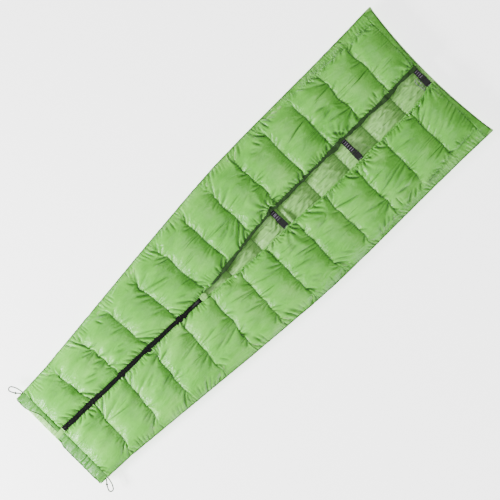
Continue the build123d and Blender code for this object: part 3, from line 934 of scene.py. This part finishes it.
hem = {
    "thick": 0.0034,
    "footThick": 0.0044,
    "steps": 260,
    "flapHead": 0.919,  # the flaps' head edge at the slit, and at the side
    "flapHeadSide": 0.944,
    "sideTurn": 0.14,  # the share of a hem, at the side, over which it drops to the side seam
    "backTurn": 0.10,
    "footZip": {-1: -0.0275, 1: -0.0080},  # where each foot hem ends beside the zip
    "curlUp": 0.012,  # the left foot hem turns up and back by this much
    "curlBack": 0.024,
    # radius of the dark tube along each foot edge: a trim that is also a painted shadow under the edge
    "edgeShadowTube": 0.0015,
}


# a panel hem's height at u along it: level, then a soft drop to the side seam
def hemHeight(u):
    drop = smooth((u - 1 + hem["sideTurn"]) / hem["sideTurn"])
    return quilt["panelMid"] + (quilt["sideZ"] + 0.001 - quilt["panelMid"]) * drop


# a back hem's height: level, then a soft rise to the side seam, less gap; far is |x| over the half width
def backHemHeight(far, gap):
    rise = smooth((far - 1 + hem["backTurn"]) / hem["backTurn"])
    return quilt["backMid"] + (quilt["sideZ"] - gap - quilt["backMid"]) * rise


# head hems from the last cross seam to the head edge: u ** 1.7 on a flap, 1 - x * x on the back
def headHems():
    u = np.linspace(0, 1, hem["steps"])
    stitch, z = seamYs[-1], hemHeight(u)
    for side, word in sides:
        inner = slitX(stitch, side)
        x = inner + (side * (sideX(0.93) - 0.002) - inner) * u
        edgeY = hem["flapHead"] + (hem["flapHeadSide"] - hem["flapHead"]) * u ** 1.7
        piece = ribbon(word + "FlapHeadHem", line(x, stitch - 0.001, z), line(x, edgeY, z - 0.006 * u),
                       hem["thick"], shellFabric, 0.0006, 60 + side)
        settle(piece, word + "_flap_head_hem", joint=word + "_flap_fold")
        # a thin dark tube along each flap's head edge: a painted shadow of the gap between the flap's hem and
        # the back's hem
        beat = 1 + 0.25 * lineNoise(len(u), 66 + side, 60)
        edge = line(x, edgeY + 0.0004, z - 0.006 * u)
        edgeShadowTube = tube(word + "HeadShadowLine", edge, 0.0014, bindingAndShadowCloth, 8, beat)
        settle(edgeShadowTube, joint=word + "_flap_fold")
    far = np.linspace(-1, 1, 2 * hem["steps"])
    x, z = far * sideX(0.95), backHemHeight(np.abs(far), 0.002)
    edgeY = quilt["head"] - quilt["headSag"] * (1 - far ** 2)
    piece = ribbon("backHeadHem", line(x, stitch - 0.001, z), line(x, edgeY, z + 0.002), hem["thick"],
                   liningFabric, 0.0006, 63)
    settle(piece, "back_head_hem")


# foot hems from the first cross seam to the foot edge; curl, from 0 to 1, turns a hem's edge up and back
def footHems():
    u, far = np.linspace(0, 1, hem["steps"]), np.linspace(-1, 1, 2 * hem["steps"])
    top, foot = seamYs[0], quilt["foot"] + 0.002
    half = sideX(quilt["foot"])
    z = backHemHeight(np.abs(far), 0.003)
    piece = ribbon("backFootHem", line(far * half, top + 0.001, z), line(far * half, foot, z - 0.006),
                   hem["footThick"], liningFabric, 0.0010, 70)
    settle(piece, "back_foot_hem")
    for side, word in sides:
        zipSide = hem["footZip"][side]
        x = zipSide + (side * (half - 0.002) - zipSide) * u
        curl = smooth((x + 0.178) / 0.075) if side < 0 else 0.3 * smooth((0.03 - x) / 0.03)
        z, edgeY = hemHeight(u), foot + hem["curlBack"] * curl
        low = np.maximum(z - 0.010 + hem["curlUp"] * curl, quilt["sideZ"] + 0.001)
        piece = ribbon(word + "FootHem", line(x, top + 0.001, z), line(x, edgeY, low), hem["footThick"],
                       hemFabric, 0.0016, 72 + side)
        settle(piece, word + "_foot_hem")
        # a thin dark tube along each foot edge: a trim, which is also a painted shadow under the raised edge
        beat = 1 + 0.25 * lineNoise(len(x), 76 + side, 60)
        edgeShadowTube = tube(word + "FootTrimAndShadow", line(x, edgeY, low + 0.0012), hem["edgeShadowTube"], trimAndShadowCloth, 8, beat)
        settle(edgeShadowTube)


# a piped seam down each side, pinched thinner and thicker along its length
def sideSeams():
    y = np.linspace(quilt["foot"] + 0.003, quilt["head"] - 0.003, 700)
    for side, word in sides:
        pinch = 1 + 0.18 * lineNoise(len(y), 80 + side, 230)
        run = line(side * (sideX(y) + 0.0004), y, quilt["sideZ"])
        piece = tube(word + "SideSeam", run, 0.0016, trimAndShadowCloth, 8, pinch)
        settle(piece, word + "_side_seam")


slitEdge = {
    "bindingFoot": -0.158,
    "bindingWide": 0.0108,
    "bindingLap": 0.0042,  # how far the binding lies over the panel's edge
    "bindingThick": 0.0032,
    "rollFoot": -0.20,
    "rollHalf": 0.0030,
    "rollThick": 0.0040,
}


# the slit's left edge: a dark binding, its darkness also a painted shadow under the panel's edge, which
# widens from its foot end and sways; and the right roll
def slitEdges():
    low, high = slitEdge["bindingFoot"], seamYs[-1]
    y = np.linspace(low, high, 620)
    sway = 0.0022 * lineNoise(len(y), 85, 26) + 0.0008 * lineNoise(len(y), 84, 110)
    x = slitX(y, -1)
    z = quilt["panelMid"] + 0.0012 + 0.0007 * lineNoise(len(y), 86, 60)
    wide = slitEdge["bindingWide"] * np.minimum(smooth((y - low) / 0.05) + 0.25, 1) + sway
    piece = ribbon("leftSlitBindingAndShadow", line(x - slitEdge["bindingLap"], y, z), line(x + wide, y, z - 0.001),
                   slitEdge["bindingThick"], bindingAndShadowCloth, 0.0004, 87)
    settle(piece, "left_slit_binding", joint="left_flap_fold")
    y = np.linspace(slitEdge["rollFoot"], high, 700)
    x, z, half = slitX(y, 1), quilt["panelMid"] - 0.0004, slitEdge["rollHalf"]
    sway = 0.0011 * lineNoise(len(y), 88, 150)
    piece = ribbon("rightSlitRoll", line(x - half + sway, y, z), line(x + half, y, z), slitEdge["rollThick"],
                   shellFabric, 0.0011, 89, foldLength=0.006)
    settle(piece, "right_slit_hem", joint="right_flap_fold")


print("hems and edges")
headHems()
footHems()
sideSeams()
slitEdges()


# zip
zipLow = Vector(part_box("zip_bottom_stop")[0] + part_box("zip_bottom_stop")[1]) / 2
zipHigh = Vector(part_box("zip_top_stops")[0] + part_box("zip_top_stops")[1]) / 2
zipDirection = np.array((zipHigh.x - zipLow.x, zipHigh.y - zipLow.y, 0.0))
zipDirection /= np.linalg.norm(zipDirection)
zipAcross = np.array((zipDirection[1], -zipDirection[0], 0.0))
zipper = {
    "tapeHalf": 0.0125,
    "coilFrom": 0.00045,
    "coilWidth": 0.0022,
    "tooth": 0.0020,
    "footRun": 0.0045,
    "topRun": 0.0058,
    "tapeSteps": 420,
    "coilSteps": 2600,
}


# a straight line from stop to stop, moved across and up, and run on past each end
def zipLine(fromEnd, toEnd, across, z, steps):
    t = np.linspace(0, 1, steps)[:, None]
    start = np.array((zipLow.x, zipLow.y, 0)) - zipDirection * fromEnd
    end = np.array((zipHigh.x, zipHigh.y, 0)) + zipDirection * toEnd
    run = start + (end - start) * t
    return run + zipAcross * across + np.array((0, 0, z))


# each tape is a flat ribbon, and each coil a tube swelling as |sin| at every tooth, half a tooth out of step
def zipParts():
    for side, word in sides:
        coilLow, coilHigh = (corner.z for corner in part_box(word + "_zip_coil"))
        tapeLow, tapeHigh = (corner.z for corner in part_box(word + "_zip_tape"))
        edges = [zipLine(zipper["footRun"], zipper["topRun"], side * far, (tapeLow + tapeHigh) / 2,
                         zipper["tapeSteps"]) for far in (0.00003, zipper["tapeHalf"])]
        piece = ribbon(word + "ZipTape", *edges, tapeHigh - tapeLow, tapeCloth, 0.00008, 90 + side)
        settle(piece, word + "_zip_tape")
        centre = zipper["coilFrom"] + zipper["coilWidth"] / 2
        run = zipLine(-0.0035, -0.0025, side * centre, (coilLow + coilHigh) / 2, zipper["coilSteps"])
        beat = np.abs(np.sin(np.pi * lengthAlong(run) / zipper["tooth"] + (0 if side < 0 else 1.57)))
        swell = 0.72 + 0.28 * beat ** 0.6
        piece = tube(word + "ZipCoil", run, zipper["coilWidth"] / 2, coilPlastic, 8, swell)
        settle(piece, word + "_zip_coil")


# a rounded cloth tab over the zip's top end: its half width is (1 - |2 t - 1| ** 4.5) ** 0.5
def zipGarage():
    low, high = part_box("zip_garage")
    t = np.linspace(0, 1, 60)
    y = low.y + (high.y - low.y) * t
    wide = (high.x - low.x) / 2 * (1 - np.abs(2 * t - 1) ** 4.5) ** 0.5
    middle = (low.x + high.x) / 2
    z = (low.z + high.z) / 2
    piece = ribbon("zipGarage", line(middle - wide, y, z), line(middle + wide, y, z), 0.0030, liningFabric,
                   0.0006, 95, 26, 0.005)
    settle(piece, "zip_garage")


print("zip")
zipParts()
zipGarage()


# straps
# even steps on straight runs between x-z corners: the distance travelled, and the points at this y
def stepsAlong(corners, y, steps):
    path = np.array(corners)
    far = lengthAlong(path)
    at = np.linspace(0, far[-1], steps)
    return at, line(np.interp(at, far, path[:, 0]), y, np.interp(at, far, path[:, 1]))


# webbing carried along a line in the x-z plane: a squared oval, thicker by extra at each step
def flatWebbing(name, node, centre, at, extra):
    wide, high = flatOval(strap["ringSize"], strap["square"])
    wide = wide * strap["width"] / 2
    out = np.cross(runOf(centre), (0, 1.0, 0))
    rise = high[None] * (strap["thick"] / 2 + extra[:, None])
    rings = centre[:, None] + np.array((0, 1.0, 0)) * wide[None, :, None] + out[:, None] * rise[..., None]
    piece = ringMesh(name, rings, at, wide / strap["width"] + 0.5, ladderWebbing)
    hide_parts(node)
    return piece


# a strap on the path of its solid: along under the bar, up through the slot, and back over it
def webbing(name, node):
    low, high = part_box(node)
    bottom, top = low.z + strap["thick"] / 2, high.z - strap["thick"] / 2
    right, mid, cut = high.x - strap["thick"] / 2, (low.y + high.y) / 2, strap["round"]
    corners = [(low.x, bottom), (right - strap["turn"], bottom), (right - cut, bottom + cut),
               (right, (bottom + top) / 2), (right - cut, top - cut), (right - strap["turn"], top),
               (right - strap["tail"], top)]
    at, centre = stepsAlong(corners, mid, 420)
    bar = np.clip(1 - np.abs(at * strap["barsPerMetre"] % 1 - 0.5) / 0.2, 0, 1)
    piece = flatWebbing(name, node, centre, at, bar * strap["barHigh"])
    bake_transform(piece)


# the short strap behind a socket: under its bar, round it and back, on the path of its solid
def socketTab(name, node):
    low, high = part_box(node)
    bottom, top = low.z + strap["thick"] / 2, high.z - strap["thick"] / 2
    left = low.x + strap["thick"] / 2
    corners = [(high.x, bottom), (left + 0.003, bottom), (left, (bottom + top) / 2), (left + 0.003, top),
               (left + 0.0185, top)]
    at, centre = stepsAlong(corners, (low.y + high.y) / 2, 160)
    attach(flatWebbing(name, node, centre, at, np.zeros(160)), "right_flap")


for place in ("upper", "lower", "neck"):
    webbing(place + "StrapWebbing", place + "_strap_webbing")
    socketTab(place + "SocketTab", place + "_socket_tab")
print("straps done")


# carried-over solids
carried = {
    bucklePlastic: ["buckle_plug", "buckle_socket", "neck_cord_toggle"],
    sliderPaint: ["zip_slider", "zip_puller", "zip_top_stops", "zip_bottom_stop"],
}
for material, words in carried.items():
    for name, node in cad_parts.items():
        if any(word in name for word in words):
            giveFinish(node, material)


# plain pale floor under the quilt, lit from inside so that it stays near white
corners = np.array([(-1, -1, 0), (1, -1, 0), (1, 1, 0), (-1, 1, 0)], float) * studio["floorHalf"]
floor = meshPiece("floor", corners, np.array([[0, 1, 2, 3]]))
giveFinish(floor, Finish("studioFloor", Base_Color=(0.93, 0.93, 0.93, 1), Roughness=0.9,
                         Emission_Color=(1, 1, 1, 1), Emission_Strength=studio["floorGlow"]).material)
